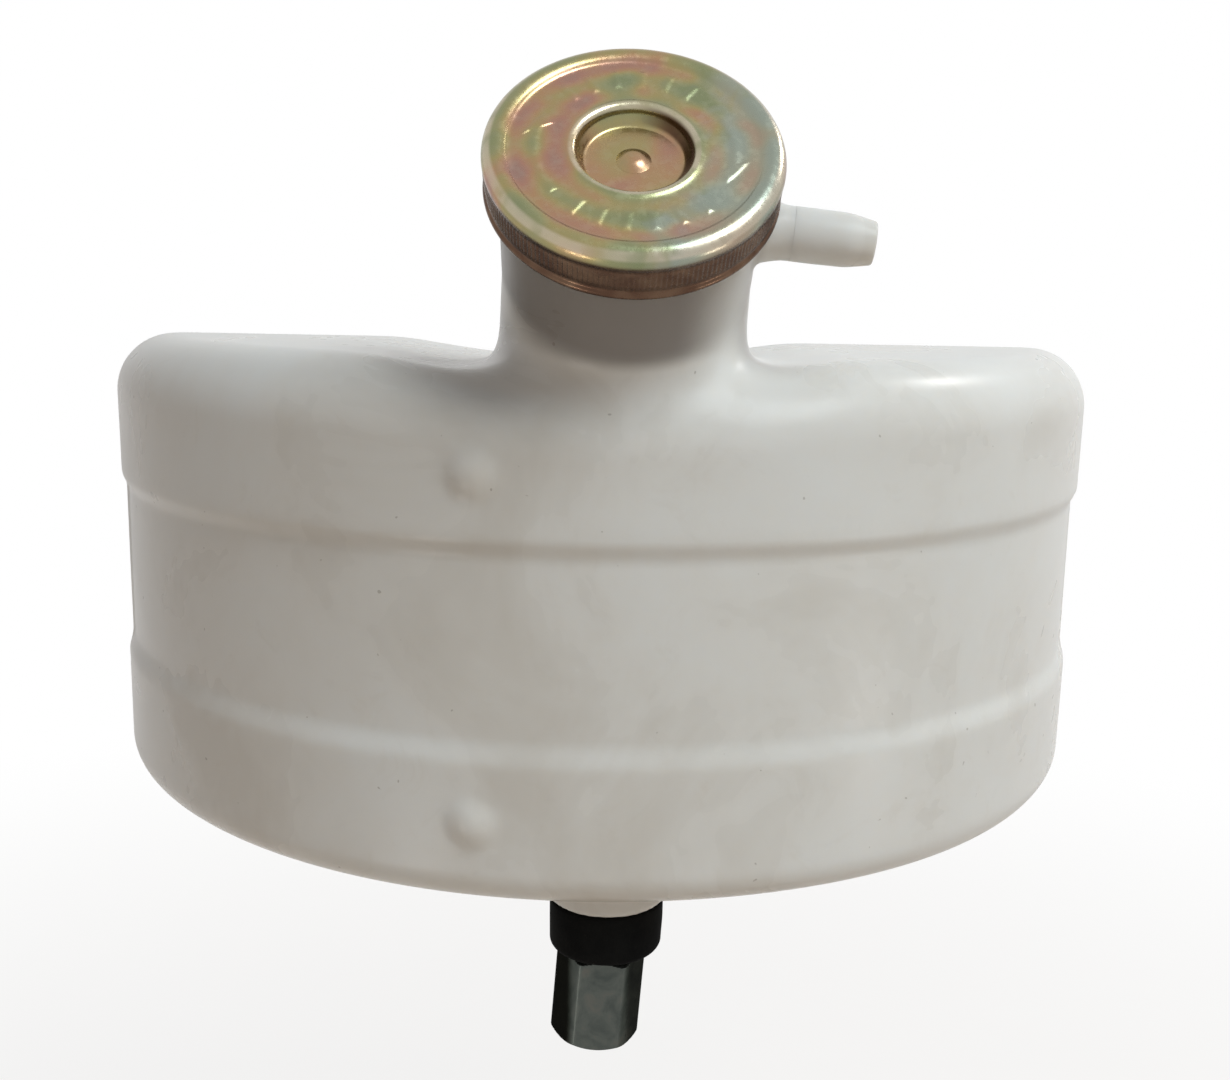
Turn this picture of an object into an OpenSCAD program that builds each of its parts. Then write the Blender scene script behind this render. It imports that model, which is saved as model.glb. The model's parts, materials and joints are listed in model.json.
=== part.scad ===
/* [Tank body] */
// Width across the two straight sides
body_w = 300; // [280:1:320]
// Depth from the flat back to the middle of the convex front
body_depth = 134; // [128:1:142]
// Height of the blown body, without neck and outlet
body_h = 136; // [128:1:150]
// Radius of the convex front in plan
front_r = 157; // [156:0.5:175]
// Radius in plan of the two back corners
back_r = 22; // [20:0.5:23]
// Radius of the rounded shoulder round the top
shoulder_r = 18; // [14:0.5:19]
// Radius of the rounded edge round the underside
foot_r = 10; // [7:0.5:14]
// Wall thickness of the blown body and neck
wall = 3; // [2:0.1:4]

/* [Saddle] */
// Depth of the shallow saddle that crosses the top at the neck
saddle_depth = 5.6; // [2:0.1:7]
// Radius of the saddle, seen from the front
saddle_r = 300; // [240:5:400]
// Sideways place of the saddle's lowest line
saddle_x = -4; // [-12:0.5:12]

/* [Strap band] */
// Height of the band's lower step above the underside
band_low = 38; // [30:1:50]
// Height of the band's upper step above the underside
band_high = 93; // [80:1:104]
// How far the band lies back from the wall
band_depth = 2; // [1:0.1:2.5]
// Height of the sloped lower step
band_ledge = 5; // [3:0.5:8]
// Height of the sloped upper step
band_lip = 3; // [2:0.5:6]

/* [Moulded pips] */
// Diameter of a pip at the wall
pip_d = 11.5; // [8:0.5:14]
// How far a pip stands out of the wall
pip_h = 2; // [1:0.1:3]
// Sideways place of both pips
pip_x = -34.7; // [-60:0.1:-20]
// Height of the lower pip above the underside
pip_low = 22.3; // [16:0.1:28]
// Height of the upper pip above the underside
pip_high = 109.5; // [104:0.1:112]

/* [Filler neck] */
// Forward lean of the neck from upright
neck_tilt = 47; // [40:0.5:52]
// Distance from the back to where the neck axis meets the top
neck_y = 85; // [80:1:90]
// Sideways place of the neck
neck_x = 2; // [-10:0.5:10]
// Outer radius of the neck below the cap
neck_r = 30.5; // [30:0.1:32]
// How much wider the neck is at the body's top than under the cap
neck_flare = 1.8; // [0.5:0.1:3]
// Length of the neck from the body's top to its rim, along its axis
neck_len = 66.2; // [62:0.1:72]
// Length of the narrower threaded end of the neck
thread_len = 8.2; // [7.6:0.1:8.6]
// Radius at the root of the neck's outside thread
thread_root_r = 28.6; // [28.2:0.1:29]
// Radius of the clear bore inside the neck's threaded end
neck_bore_r = 25.6; // [25.4:0.1:25.8]
// Depth of the valve seat below the rim
seat_depth = 26.2; // [25:0.1:28]
// Radius of the hole in the valve seat
seat_r = 19; // [17:0.1:20]
// Thickness of the valve seat
seat_t = 3.5; // [2.5:0.1:5]

/* [Overflow nipple] */
// Outer radius of the nipple where the hose sits
nipple_r = 6.3; // [5:0.1:6.6]
// How much wider the nipple is at the neck
nipple_flare = 0.8; // [0.3:0.1:0.9]
// Length of the straight part that the hose sits on
nipple_seat = 14; // [10:0.5:16]
// Bore radius of the nipple
nipple_bore_r = 4; // [2.5:0.1:4.4]
// Distance of the nipple's end from the neck axis
nipple_reach = 57; // [55:0.5:66]
// Turn of the nipple round the neck, towards the front
nipple_turn = 8; // [0:1:20]
// Depth of the nipple's axis below the rim
nipple_depth = 16.2; // [15.8:0.1:18]
// Length of the tapered tip
nipple_tip = 6; // [3:0.5:9]
// How much the tip tapers in radius
nipple_taper = 1.2; // [0.5:0.1:2]

/* [Outlet] */
// Distance from the back to the outlet's axis
outlet_y = 108; // [100:1:110]
// Outer radius of the moulded boss
boss_r = 15.8; // [14.5:0.1:17]
// How far the boss stands below the underside
boss_h = 6; // [4:0.5:10]
// Radius of the hole through boss and floor
boss_hole_r = 12; // [11:0.1:13]
// Outer radius of the rubber sleeve below the boss
sleeve_r = 15.1; // [13.5:0.1:17]
// Height of the rubber sleeve below the boss
sleeve_h = 14; // [10:0.5:18]
// Height of the sleeve's lip inside the tank
sleeve_lip_h = 2.5; // [1.5:0.1:4]
// How far that lip reaches past the hole
sleeve_lip = 1.6; // [1:0.1:2.5]
// Outer radius of the fitting's spigot
spigot_r = 8; // [7:0.1:9]
// Height of the spigot's barb
spigot_lip = 2; // [1:0.1:3]
// How far the barb reaches past the spigot
spigot_barb = 0.8; // [0.4:0.1:1.2]
// Chamfer at the mouth of the threaded hole
tap_chamfer = 0.8; // [0.3:0.1:1.2]
// Lean of the steel fitting in its rubber sleeve, to the left
fitting_lean = 4; // [0:0.5:5]
// Width across flats of the hexagon
hex_af = 21; // [19:0.5:24]
// Length of the hexagon
hex_h = 25; // [18:0.5:32]
// Core radius of the M14 thread in the hexagon
tap_r = 6.2; // [5:0.05:6.6]
// Depth of the threaded hole
tap_depth = 17; // [12:0.5:20]
// Radius of the flow bore through the fitting
flow_r = 4.5; // [3:0.1:5]

/* [Pressure cap] */
// Outer radius of the cap
cap_r = 34; // [33.9:0.1:35]
// Thickness of the cap's sheet steel
sheet = 1; // [0.8:0.05:1.1]
// Height of the cap from the skirt's edge to the rim's crown
cap_h = 13.5; // [13.2:0.1:14.5]
// Radius of the rounded rim
rim_round = 3.4; // [3:0.1:3.6]
// How far the flat top lies below the rim's crown
top_drop = 1.1; // [0.6:0.1:1.5]
// Radius of the sunk centre's floor
dish_r = 11.8; // [10:0.1:13]
// Depth of the sunk centre below the flat top
dish_h = 3.9; // [3:0.1:4.2]
// Rounding of the raised lip round the sunk centre
lip_round = 1.6; // [1.3:0.1:2]
// How far that lip stands above the flat top
lip_rise = 0.4; // [0.2:0.1:0.6]
// How far the sunk centre's wall leans outwards
dish_slope = 1.2; // [0.6:0.1:2]
// How far the skirt lies in from the rim
skirt_step = 0.6; // [0.4:0.05:0.8]
// Radius of the curled foot of the skirt
curl_r = 1; // [0.8:0.05:1.2]
// Distance of the knurled band's lower edge from the skirt's edge
knurl_foot = 3; // [2.4:0.1:4]
// Height of the knurled band
knurl_h = 5.4; // [4:0.1:5.8]
// Height of the ring with the cap's inside thread
ring_h = 6.8; // [5:0.1:7]
// Number of knurl ribs round the skirt
rib_count = 180; // [90:10:200]
// Height of the knurl ribs
rib_h = 0.45; // [0.2:0.05:0.5]
// Radius of the rivet's dome and lower head
rivet_head_r = 4; // [3.4:0.1:5]
// Radius of the rivet's shank
rivet_r = 2.5; // [2:0.1:3]
// Height of the rivet's dome
rivet_dome_h = 1.4; // [0.8:0.1:2]
// Height of the rivet's lower head
rivet_foot_h = 1.2; // [0.8:0.1:2]
// Chamfer of the rivet's lower head
rivet_chamfer = 1; // [0.4:0.1:1.2]
// Rise of the cap for one turn of its thread
thread_lead = 3.2; // [2.5:0.1:4]

/* [Pressure valve] */
// Thickness of the rubber seal on the neck's rim
rim_seal_t = 2.2; // [1.6:0.1:2.6]
// Thickness of the spring diaphragm
diaphragm_t = 0.5; // [0.3:0.05:0.6]
// Outer radius of the spring housing
housing_r = 22.8; // [22:0.1:23]
// Thickness of the spring housing's sheet
housing_t = 1; // [0.7:0.05:1.1]
// Length of the spring housing below the diaphragm
housing_h = 17.5; // [16.5:0.1:18]
// Reach of the housing's foot flange
housing_flange = 1.4; // [1:0.1:1.5]
// Number of windows round the spring housing
window_count = 4; // [3:1:6]
// Radius of a window in the spring housing
window_r = 4; // [3:0.1:4.5]
// Outer radius of the pressure plate and its seal
plate_r = 22.4; // [21.8:0.1:22.8]
// Thickness of the pressure plate
plate_t = 1; // [0.8:0.05:1.1]
// Thickness of the seal under the pressure plate
seal_t = 2.2; // [1.6:0.1:2.6]
// Radius of the hole in that seal
seal_hole_r = 8.5; // [7.5:0.1:9]
// Number of hooks that hold the plate to the housing
hook_count = 3; // [3:1:4]
// Thickness of a hook
hook_t = 0.6; // [0.5:0.05:0.65]
// Height of the hooks above the plate
hook_h = 8.2; // [7.8:0.1:9]
// Angle that each hook spans
hook_span = 24; // [12:1:40]
// How far a hook's foot reaches onto the plate
hook_foot = 2; // [1:0.1:3]
// Radius of the collar that centres the pressure spring
collar_r = 13; // [11:0.1:13.4]
// Height of that collar above the plate
collar_h = 2.6; // [1.5:0.1:3]
// Wire diameter of the pressure spring
spring_wire = 2.2; // [1.6:0.1:2.6]
// Mean radius of the pressure spring
spring_r = 16.5; // [15:0.1:18]
// Turns of the pressure spring
spring_turns = 5; // [4:0.5:6]
// Travel of the pressure valve
valve_lift = 3; // [1:0.1:3.4]

/* [Vacuum valve] */
// Radius of the vacuum valve's disc
vacuum_r = 10.8; // [10:0.1:12]
// Thickness of that disc
vacuum_t = 1.1; // [0.8:0.1:1.6]
// Radius of the vacuum valve's stem
stem_r = 1.5; // [1.2:0.05:1.8]
// Length of the stem above the disc
stem_len = 10.8; // [10:0.1:12]
// Distance of the vent holes from the stem
vent_place = 5.6; // [5:0.1:6.2]
// Radius of a vent hole in the pressure plate
vent_r = 1.2; // [0.8:0.1:1.5]
// Number of vent holes
vent_count = 4; // [3:1:6]
// Wire diameter of the vacuum spring
small_wire = 0.6; // [0.4:0.05:0.8]
// Mean radius of the vacuum spring
small_spring_r = 3; // [2.6:0.1:3.4]
// Turns of the vacuum spring
small_turns = 5; // [4:0.5:6]
// Thickness of the washer that holds the vacuum spring
clip_t = 0.8; // [0.6:0.1:1]
// Radius of that washer
clip_r = 4.2; // [4:0.1:5]
// Distance of that washer's upper face from the end of the stem
clip_back = 0.6; // [0.4:0.1:1]

/* [Clearances] */
// Radial running clearance of a shaft in its hole
run_gap = 0.06; // [0.03:0.01:0.1]
// Radial clearance of a piece that is held fast
fit_gap = 0.1; // [0.05:0.01:0.15]
// Gap between a spring's end coil and its seat
coil_gap = 0.2; // [0.1:0.05:0.3]
// Radial clearance of the cap's inner pieces in the neck
bore_gap = 0.5; // [0.4:0.05:0.6]
// Radial clearance of the cap's threaded ring round the rim seal
ring_gap = 0.3; // [0.3:0.05:0.4]
// Radial room for the threads of the neck and the cap
thread_room = 1.9; // [1.7:0.05:2]
// Play between the cap and the pieces that it turns over
turn_gap = 0.15; // [0.1:0.05:0.25]
// Gap between the barb and the sleeve's lip
barb_gap = 0.3; // [0.1:0.05:0.6]

/* [Hidden] */
$fn = 96;

// Plan of the body: centre of the convex front, with the back at y = 0
half_w = body_w / 2;
front_y = front_r - body_depth;
back_x = half_w - back_r;
// Where the shoulder of the front meets the shoulder of a side
mitre_y = front_y - sqrt(pow(front_r - shoulder_r, 2) - pow(half_w - shoulder_r, 2));
// Width of the swept rim, in from the outline, and how far the core laps into it
rim_w = shoulder_r + 2;
core_lap = 1;
// How far a cut runs past the face it opens
over = 1;

// Places along the neck axis, measured from the body's top
rim_z = neck_len;
thread_z = rim_z - thread_len;
seat_z = rim_z - seat_depth;
nipple_z = rim_z - nipple_depth;
diaphragm_z = rim_z + rim_seal_t;
diaphragm_top_z = diaphragm_z + diaphragm_t;
cap_under_z = diaphragm_top_z + turn_gap;
cap_flat_z = cap_under_z + sheet;
cap_crown_z = cap_flat_z + top_drop;
cap_foot_z = cap_crown_z - cap_h;
knurl_foot_z = cap_foot_z + knurl_foot;
knurl_top_z = knurl_foot_z + knurl_h;
dish_z = cap_flat_z - dish_h;
dish_under_z = dish_z - sheet;
housing_top_z = dish_under_z - turn_gap - diaphragm_t;
housing_foot_z = housing_top_z - housing_h;
plate_z = seat_z + seal_t;
plate_top_z = plate_z + plate_t;
stem_top_z = seat_z + stem_len;
clip_z = stem_top_z - clip_back - clip_t;

// Radii of the cap's inner pieces
skirt_r = cap_r - skirt_step;
skirt_in_r = skirt_r - sheet;
ring_in_r = thread_root_r + thread_room;
seal_out_r = ring_in_r - ring_gap;
seal_in_r = neck_bore_r + ring_gap;
hook_r = neck_bore_r - bore_gap;
lip_r = dish_r + lip_round + dish_slope;
lip_z = cap_flat_z - lip_round + lip_rise;
inner_neck_r = neck_r - wall;

// Along the nipple, from the neck axis
nipple_seat_x = nipple_reach - nipple_tip - nipple_seat;

module in_body() {
    translate([0, 0, -body_h / 2]) children();
}

module in_neck() {
    in_body()
        translate([neck_x, -neck_y, body_h])
        rotate([neck_tilt, 0, 0])
        children();
}

// Cuts that round the foot and the shoulder of a section whose outline is at x = out
module edge_cuts(out, inset) {
    low = inset;
    high = body_h - inset;
    foot = foot_r - inset;
    shoulder = shoulder_r - inset;
    difference() {
        translate([out - foot, low - 1]) square([foot + 1, foot + 1]);
        translate([out - foot, low + foot]) circle(r = foot);
    }
    difference() {
        translate([out - shoulder, high - shoulder]) square([shoulder + 1, shoulder + 1]);
        translate([out - shoulder, high - shoulder]) circle(r = shoulder);
    }
}

// Section of the strap band, cut into a wall whose outline is at x = out
module band_cut(out) {
    slack = 1;
    polygon([[out + slack, band_low - slack * band_ledge / band_depth], [out, band_low],
        [out - band_depth, band_low + band_ledge], [out - band_depth, band_high - band_lip],
        [out, band_high], [out + slack, band_high + slack * band_lip / band_depth]]);
}

// Section of the block's rim, outwards along x from the rim's inner edge
module rim_section(inset) {
    difference() {
        translate([0, inset]) square([rim_w - inset, body_h - 2 * inset]);
        edge_cuts(rim_w - inset, inset);
    }
}

module rim_straight(start, turn, run, inset) {
    translate([start[0], start[1], 0])
        rotate([0, 0, turn])
        rotate([90, 0, 0])
        linear_extrude(height = run)
        translate([-rim_w, 0])
        rim_section(inset);
}

module rim_corner(centre, turn, inset) {
    translate([centre[0], centre[1], 0])
        rotate([0, 0, turn])
        rotate_extrude(angle = 90)
        translate([back_r - rim_w, 0])
        rim_section(inset);
}

// Block with straight sides, a flat back and round back corners, open to the front
module block(inset) {
    in = rim_w - core_lap;
    run = body_depth + core_lap;
    translate([-half_w + in, -run, inset])
        cube([body_w - 2 * in, run - in, body_h - 2 * inset]);
    rim_corner([back_x, -back_r], 0, inset);
    rim_corner([-back_x, -back_r], 90, inset);
    rim_straight([-back_x, 0], 90, 2 * back_x, inset);
    rim_straight([half_w, -back_r], 0, run - back_r, inset);
    rim_straight([-half_w, -run], 180, run - back_r, inset);
}

// Round puck whose rim is the convex front
module puck(inset) {
    translate([0, front_y, 0])
        rotate_extrude($fn = 180)
        difference() {
            translate([0, inset]) square([front_r - inset, body_h - 2 * inset]);
            edge_cuts(front_r - inset, inset);
            band_cut(front_r - inset);
        }
}

// Strap band on the two straight sides, up to the back corners
module side_bands(inset) {
    for (s = [0, 1]) mirror([s, 0, 0])
        translate([0, -back_r, 0])
        rotate([90, 0, 0])
        linear_extrude(height = body_depth)
        band_cut(half_w - inset);
}

// Shallow trough across the top, from front to back
module saddle(inset) {
    translate([saddle_x, over, body_h - saddle_depth + saddle_r])
        rotate([90, 0, 0])
        cylinder(h = body_depth + 2 * over, r = saddle_r + inset, $fn = 360);
}

module body_form(inset) {
    behind = half_w;
    difference() {
        intersection() {
            difference() {
                block(inset);
                side_bands(inset);
            }
            union() {
                puck(inset);
                translate([-body_w, mitre_y, -core_lap])
                    cube([2 * body_w, behind, body_h + 2 * core_lap]);
            }
        }
        saddle(inset);
    }
}

module pip(height) {
    ball_r = (pow(pip_d / 2, 2) + pow(pip_h, 2)) / (2 * pip_h);
    along = asin(pip_x / front_r);
    reach = front_r + pip_h - ball_r;
    translate([reach * sin(along), front_y - reach * cos(along), height]) sphere(r = ball_r);
}

// Its foot reaches into the body until its back edge lies under the saddle
module neck_outside() {
    flare_h = neck_r;
    drop = neck_foot(neck_r + 2.5 * neck_flare, saddle_depth);
    translate([0, 0, -drop])
        cylinder(h = drop, r1 = neck_r + neck_flare * (1 + drop / flare_h), r2 = neck_r + neck_flare);
    cylinder(h = flare_h, r1 = neck_r + neck_flare, r2 = neck_r);
    translate([0, 0, flare_h]) cylinder(h = thread_z - flare_h, r = neck_r);
    translate([0, 0, thread_z]) cylinder(h = rim_z - thread_z, r = thread_root_r);
}

// Length below the body's top at which the back of a leaning circle lies deeper than depth
function neck_foot(r, depth) = (r * sin(neck_tilt) + depth) / cos(neck_tilt) + over;

module neck_inside() {
    below = neck_foot(inner_neck_r, saddle_depth + wall);
    translate([0, 0, -below]) cylinder(h = below + seat_z - seat_t, r = inner_neck_r);
    translate([0, 0, seat_z - seat_t - over]) cylinder(h = seat_t + 2 * over, r = seat_r);
    translate([0, 0, seat_z]) cylinder(h = seat_depth + over, r = neck_bore_r);
}

module nipple_way() {
    translate([0, 0, nipple_z]) rotate([0, 0, -nipple_turn]) rotate([0, 90, 0]) children();
}

// Root in the neck's wall, flare, straight seat for the hose, tapered tip
module nipple_outside() {
    root_r = nipple_r + nipple_flare;
    tip_r = nipple_r - nipple_taper;
    start = neck_bore_r / 2;
    tip_x = nipple_seat_x + nipple_seat;
    rotate_extrude()
        polygon([[0, start], [root_r, start], [root_r, neck_r + over], [nipple_r, nipple_seat_x],
            [nipple_r, tip_x], [tip_r, nipple_reach], [0, nipple_reach]]);
}

module tank_body() {
    color([0.9, 0.9, 0.87]) {
        difference() {
            union() {
                in_body() body_form(0);
                in_body() pip(pip_low);
                in_body() pip(pip_high);
                in_neck() neck_outside();
                in_neck() nipple_way() nipple_outside();
                in_body() translate([0, -outlet_y, -boss_h]) cylinder(h = boss_h + foot_r, r = boss_r);
            }
            in_body() body_form(wall);
            in_neck() neck_inside();
            in_neck() nipple_way() cylinder(h = nipple_reach + over, r = nipple_bore_r);
            in_body() translate([0, -outlet_y, -boss_h - over])
                cylinder(h = boss_h + wall + foot_r, r = boss_hole_r);
        }
    }
}

// The outlet's own frame: origin on the underside, leaning like the fitting in its sleeve
module in_outlet() {
    in_body()
        translate([0, -outlet_y, 0])
        children();
}

module in_lean() {
    in_outlet()
        translate([0, 0, -boss_h])
        rotate([0, fitting_lean, 0])
        children();
}

module outlet_grommet() {
    color([0.05, 0.05, 0.05])
        difference() {
            union() {
                in_outlet() translate([0, 0, -boss_h - sleeve_h]) cylinder(h = sleeve_h, r = sleeve_r);
                in_outlet() translate([0, 0, -boss_h])
                    cylinder(h = boss_h + wall, r = boss_hole_r - fit_gap);
                in_outlet() translate([0, 0, wall])
                    cylinder(h = sleeve_lip_h, r1 = boss_hole_r + sleeve_lip, r2 = boss_hole_r - fit_gap);
            }
            in_lean() translate([0, 0, -2 * sleeve_h])
                cylinder(h = 4 * sleeve_h, r = spigot_r + fit_gap);
        }
}

module outlet_adaptor() {
    hex_top = -sleeve_h - sin(fitting_lean) * sleeve_r;
    hex_foot = hex_top - hex_h;
    lean_drop = (spigot_r + spigot_barb) * sin(fitting_lean);
    spigot_top = (boss_h + wall + sleeve_lip_h + barb_gap + lean_drop) / cos(fitting_lean);
    color([0.42, 0.45, 0.43])
        in_lean()
        difference() {
            union() {
                translate([0, 0, hex_foot])
                    cylinder(h = hex_h, r = hex_af / 2 / cos(30), $fn = 6);
                translate([0, 0, hex_top]) cylinder(h = spigot_top - hex_top, r = spigot_r);
                translate([0, 0, spigot_top])
                    cylinder(h = spigot_lip, r1 = spigot_r + spigot_barb, r2 = spigot_r - spigot_barb);
            }
            translate([0, 0, hex_foot - over])
                cylinder(h = spigot_top + spigot_lip - hex_foot + 2 * over, r = flow_r);
            translate([0, 0, hex_foot - over]) cylinder(h = tap_depth + over, r = tap_r);
            translate([0, 0, hex_foot]) cylinder(h = tap_chamfer, r1 = tap_r + tap_chamfer, r2 = tap_r);
        }
}

// Outline of the pressed cap in x = radius, y = height, thinned by inset
module cap_outline(inset) {
    roll_z = cap_crown_z - rim_round;
    roll_r = cap_r - rim_round;
    lip_in_r = lip_r - lip_round + inset;
    difference() {
        union() {
            translate([0, cap_foot_z - over]) square([skirt_r - inset, roll_z - cap_foot_z + over]);
            translate([0, cap_foot_z - over])
                square([roll_r, cap_flat_z - inset - cap_foot_z + over]);
            translate([roll_r, roll_z]) circle(r = rim_round - inset);
            translate([lip_r, lip_z]) circle(r = lip_round - inset);
        }
        polygon([[0, dish_z - inset], [dish_r + inset, dish_z - inset],
            [lip_in_r, lip_z], [lip_in_r, 2 * lip_z], [0, 2 * lip_z]]);
    }
}

// Knurled band as one extruded star
module knurl() {
    steps = 2 * rib_count;
    valley = skirt_r + rib_h / 10;
    translate([0, 0, knurl_foot_z])
        linear_extrude(height = knurl_top_z - knurl_foot_z)
        polygon([for (i = [0:steps - 1])
            let (r = valley + (i % 2) * rib_h, a = 360 * i / steps)
            [r * cos(a), r * sin(a)]]);
}

module cap_shell() {
    hole_r = rivet_r + fit_gap;
    color([0.62, 0.55, 0.33])
        in_neck()
        difference() {
            union() {
                rotate_extrude($fn = 180)
                    difference() {
                        union() {
                            difference() {
                                cap_outline(0);
                                translate([0, cap_foot_z - 2 * over])
                                    square([2 * cap_r, 2 * over + curl_r]);
                            }
                            translate([cap_r - curl_r, cap_foot_z + curl_r]) circle(r = curl_r);
                        }
                        difference() {
                            cap_outline(sheet);
                            translate([cap_r - curl_r, cap_foot_z + curl_r]) circle(r = curl_r);
                        }
                    }
                difference() {
                    knurl();
                    cylinder(h = 2 * cap_crown_z, r = skirt_r - sheet / 2);
                }
            }
            cylinder(h = 2 * cap_crown_z, r = hole_r);
        }
}

module thread_ring() {
    foot = cap_foot_z + 2 * curl_r;
    color([0.85, 0.84, 0.78])
        in_neck()
        translate([0, 0, foot])
        difference() {
            cylinder(h = ring_h, r = skirt_in_r - fit_gap);
            translate([0, 0, -over]) cylinder(h = ring_h + 2 * over, r = ring_in_r);
        }
}

module cap_rivet() {
    head_ball_r = (pow(rivet_head_r, 2) + pow(rivet_dome_h, 2)) / (2 * rivet_dome_h);
    under = housing_top_z - housing_t - turn_gap;
    color([0.6, 0.5, 0.3])
        in_neck() {
            intersection() {
                translate([0, 0, dish_z + rivet_dome_h - head_ball_r]) sphere(r = head_ball_r);
                translate([0, 0, dish_z]) cylinder(h = 2 * rivet_dome_h, r = 2 * rivet_head_r);
            }
            translate([0, 0, under]) cylinder(h = dish_z - under, r = rivet_r);
            translate([0, 0, under - rivet_foot_h])
                cylinder(h = rivet_foot_h, r1 = rivet_head_r - rivet_chamfer, r2 = rivet_head_r);
        }
}

module rim_seal() {
    color([0.08, 0.08, 0.08])
        in_neck()
        translate([0, 0, rim_z])
        difference() {
            cylinder(h = rim_seal_t, r = seal_out_r);
            translate([0, 0, -over]) cylinder(h = rim_seal_t + 2 * over, r = seal_in_r);
        }
}

// Dished washer that follows the sunk centre and lies flat under the cap's top
module spring_diaphragm() {
    hole_r = rivet_r + run_gap;
    wall_r = dish_r + sheet + ring_gap;
    lip_under_r = lip_r + lip_round - sheet + ring_gap;
    out_r = seal_out_r - ring_gap;
    centre_z = housing_top_z + diaphragm_t;
    color([0.7, 0.71, 0.72])
        in_neck()
        rotate_extrude()
        polygon([[hole_r, housing_top_z], [wall_r + diaphragm_t, housing_top_z],
            [lip_under_r + diaphragm_t, diaphragm_z], [out_r, diaphragm_z], [out_r, diaphragm_top_z],
            [lip_under_r, diaphragm_top_z], [wall_r, centre_z], [hole_r, centre_z]]);
}

module spring_housing() {
    in_r = housing_r - housing_t;
    flange_r = housing_r + housing_flange;
    mid = (housing_top_z + housing_foot_z) / 2;
    color([0.72, 0.66, 0.45])
        in_neck()
        difference() {
            union() {
                translate([0, 0, housing_foot_z])
                    cylinder(h = housing_top_z - housing_foot_z, r = housing_r);
                translate([0, 0, housing_foot_z]) cylinder(h = housing_t, r = flange_r);
            }
            translate([0, 0, housing_foot_z - over])
                cylinder(h = housing_top_z - housing_t - housing_foot_z + over, r = in_r);
            cylinder(h = 2 * housing_top_z, r = rivet_r + run_gap);
            for (i = [0:window_count - 1])
                translate([0, 0, mid])
                rotate([0, 0, 360 * (i + 0.5) / window_count])
                rotate([0, 90, 0])
                cylinder(h = 2 * housing_r, r = window_r);
        }
}

// Points of a coil spring's wire section number i, with closed end turns
function coil_height(t, turns, wire, length) =
    let (u = (t - 1) / (turns - 2))
    t < 1 ? wire * t : t > turns - 1 ? length - wire * (turns - t) - wire :
    wire + (length - 3 * wire) * u;

module coil(radius, wire, length, turns, steps, sides) {
    count = floor(turns * steps);
    points = [for (i = [0:count]) let (t = i / steps, a = 360 * t,
        z = wire / 2 + coil_height(t, turns, wire, length))
        for (k = [0:sides - 1]) let (b = 360 * k / sides)
        [(radius + wire / 2 * cos(b)) * cos(a), (radius + wire / 2 * cos(b)) * sin(a),
            z + wire / 2 * sin(b)]];
    skin = [for (i = [0:count - 1], k = [0:sides - 1]) let (n = (k + 1) % sides)
        [i * sides + k, (i + 1) * sides + k, (i + 1) * sides + n, i * sides + n]];
    start = [[for (k = [0:sides - 1]) k]];
    end = [[for (k = [sides - 1:-1:0]) count * sides + k]];
    polyhedron(points = points, faces = concat(skin, start, end));
}

module pressure_spring() {
    low = plate_top_z + coil_gap;
    high = housing_top_z - housing_t - coil_gap;
    color([0.6, 0.6, 0.62])
        in_neck()
        translate([0, 0, low])
        coil(spring_r, spring_wire, high - low, spring_turns, 24, 8);
}

module pressure_plate() {
    hook_top = plate_z + hook_h;
    hook_in = hook_r - hook_t;
    foot_in = plate_r - hook_foot;
    lip_in = housing_r + bore_gap;
    color([0.72, 0.66, 0.45])
        in_neck()
        difference() {
            union() {
                translate([0, 0, plate_z]) cylinder(h = plate_t, r = plate_r);
                translate([0, 0, plate_z]) cylinder(h = plate_t + collar_h, r = collar_r);
                for (i = [0:hook_count - 1])
                    rotate([0, 0, 360 * i / hook_count])
                    rotate_extrude(angle = hook_span)
                    polygon([[foot_in, plate_z], [hook_r, plate_z], [hook_r, hook_top],
                        [lip_in, hook_top], [lip_in, hook_top - hook_t],
                        [hook_in, hook_top - hook_t], [hook_in, plate_top_z], [foot_in, plate_top_z]]);
            }
            translate([0, 0, plate_top_z]) cylinder(h = 2 * collar_h, r = collar_r - plate_t);
            cylinder(h = 2 * plate_top_z, r = stem_r + run_gap);
            for (i = [0:vent_count - 1])
                rotate([0, 0, 360 * (i + 0.5) / vent_count])
                translate([vent_place, 0, 0])
                cylinder(h = 2 * plate_top_z, r = vent_r);
        }
}

module pressure_seal() {
    color([0.08, 0.08, 0.08])
        in_neck()
        translate([0, 0, seat_z])
        difference() {
            cylinder(h = seal_t, r = plate_r);
            translate([0, 0, -over]) cylinder(h = seal_t + 2 * over, r = seal_hole_r);
        }
}

module vacuum_valve() {
    color([0.78, 0.62, 0.3])
        in_neck() {
            translate([0, 0, seat_z - vacuum_t]) cylinder(h = vacuum_t, r = vacuum_r);
            translate([0, 0, seat_z - vacuum_t]) cylinder(h = stem_len + vacuum_t, r = stem_r);
        }
}

module vacuum_spring() {
    low = plate_top_z + coil_gap;
    color([0.6, 0.6, 0.62])
        in_neck()
        translate([0, 0, low])
        coil(small_spring_r, small_wire, clip_z - coil_gap - low, small_turns, 16, 6);
}

module vacuum_spring_cap() {
    color([0.78, 0.62, 0.3])
        in_neck()
        translate([0, 0, clip_z])
        difference() {
            cylinder(h = clip_t, r = clip_r);
            translate([0, 0, -over]) cylinder(h = clip_t + 2 * over, r = stem_r + run_gap / 2);
        }
}

tank_body();
outlet_grommet();
outlet_adaptor();
cap_shell();
thread_ring();
cap_rivet();
rim_seal();
spring_diaphragm();
spring_housing();
pressure_spring();
pressure_plate();
pressure_seal();
vacuum_valve();
vacuum_spring();
vacuum_spring_cap();
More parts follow.
